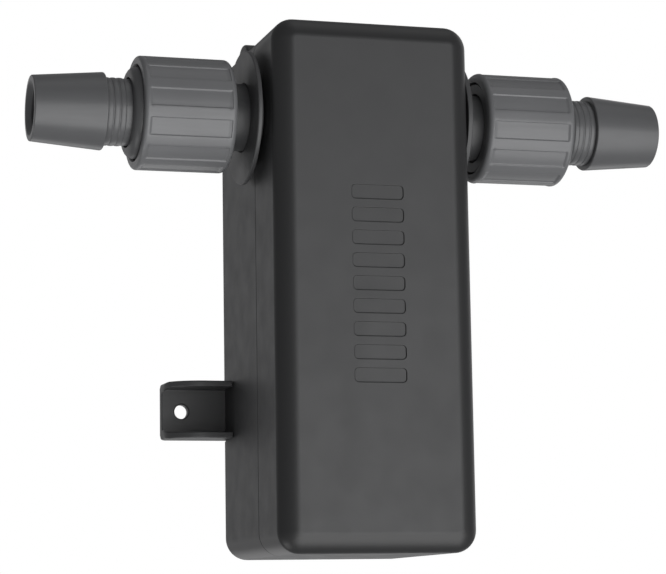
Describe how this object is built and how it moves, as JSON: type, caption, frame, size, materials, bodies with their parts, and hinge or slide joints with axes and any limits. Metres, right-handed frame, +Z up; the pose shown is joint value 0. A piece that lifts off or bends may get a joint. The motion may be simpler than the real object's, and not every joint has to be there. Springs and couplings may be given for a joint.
{
  "type": "in-line uv water clarifier",
  "caption": "Tall rounded box that treats aquarium water with an ultraviolet lamp, with a hose nozzle and fluted lock nut at each side and a screw-ear wall bracket.",
  "frame": {"origin": "centre of the mounting strap's back face, on the wall plane", "axes": "+Z up, +Y into the wall, +X to the viewer's right along the two hose connectors"},
  "size_m": [0.152, 0.0524, 0.1227],
  "materials": {
    "case": "fine moulded grain, charcoal grey",
    "fitting": "smooth satin, mid grey",
    "nozzle": "smooth satin, grey",
    "clamp": "satin, grey",
    "bracket": "satin, near black",
    "rubber": "black elastomer",
    "chamber": "satin, near black",
    "quartz": "clear polished",
    "lamp": "clear tube with a violet tint",
    "ceramic": "off-white",
    "board": "green solder mask",
    "component": "black moulded",
    "steel": "plain stainless"
  },
  "bodies": {
    "case": {"front_cover": "case", "rear_housing": "case", "left_port_collar": "case", "right_port_collar": "case", "case_gasket": "rubber", "chamber_seal": "rubber", "sleeve_o_ring": "rubber", "left_port_seal": "rubber", "right_port_seal": "rubber", "cord_gland": "rubber", "lamp_lead": "rubber", "case_screw_1": "steel", "case_screw_2": "steel", "case_screw_3": "steel", "case_screw_4": "steel", "board_screw_1": "steel", "board_screw_2": "steel", "strap_screw_1": "steel", "strap_screw_2": "steel", "water_chamber": "chamber", "chamber_cap": "chamber", "flow_baffle": "chamber", "quartz_sleeve": "quartz", "sleeve_nut": "fitting", "left_hose_connector": "nozzle", "right_hose_connector": "nozzle", "uv_lamp": "lamp", "lamp_base": "ceramic", "driver_board": "board", "driver_transformer": "component", "driver_capacitor": "component", "power_terminal": "component", "mounting_bracket": "bracket"},
    "left_ring": {"left_clamp_ring": "clamp"},
    "left_nut": {"left_lock_nut": "fitting"},
    "right_ring": {"right_clamp_ring": "clamp"},
    "right_nut": {"right_lock_nut": "fitting"}
  },
  "joints": [
    {"name": "left_ring_slide", "type": "slide", "parent": "case", "child": "left_ring", "axis": [-1, 0, 0], "range_m": [0, 0.0042]},
    {"name": "left_nut_turn", "type": "hinge", "parent": "left_ring", "child": "left_nut", "pos_m": [-0.041, -0.0332, 0.066], "axis": [-1, 0, 0], "range_deg": [0, 541]},
    {"name": "right_ring_slide", "type": "slide", "parent": "case", "child": "right_ring", "axis": [1, 0, 0], "range_m": [0, 0.0042]},
    {"name": "right_nut_turn", "type": "hinge", "parent": "right_ring", "child": "right_nut", "pos_m": [0.041, -0.0332, 0.066], "axis": [1, 0, 0], "range_deg": [0, 541]}
  ],
  "couplings": [
    {"joint": "left_nut_turn", "follows": "left_ring_slide", "rad_per_m": 2244},
    {"joint": "right_nut_turn", "follows": "right_ring_slide", "rad_per_m": 2244}
  ]
}
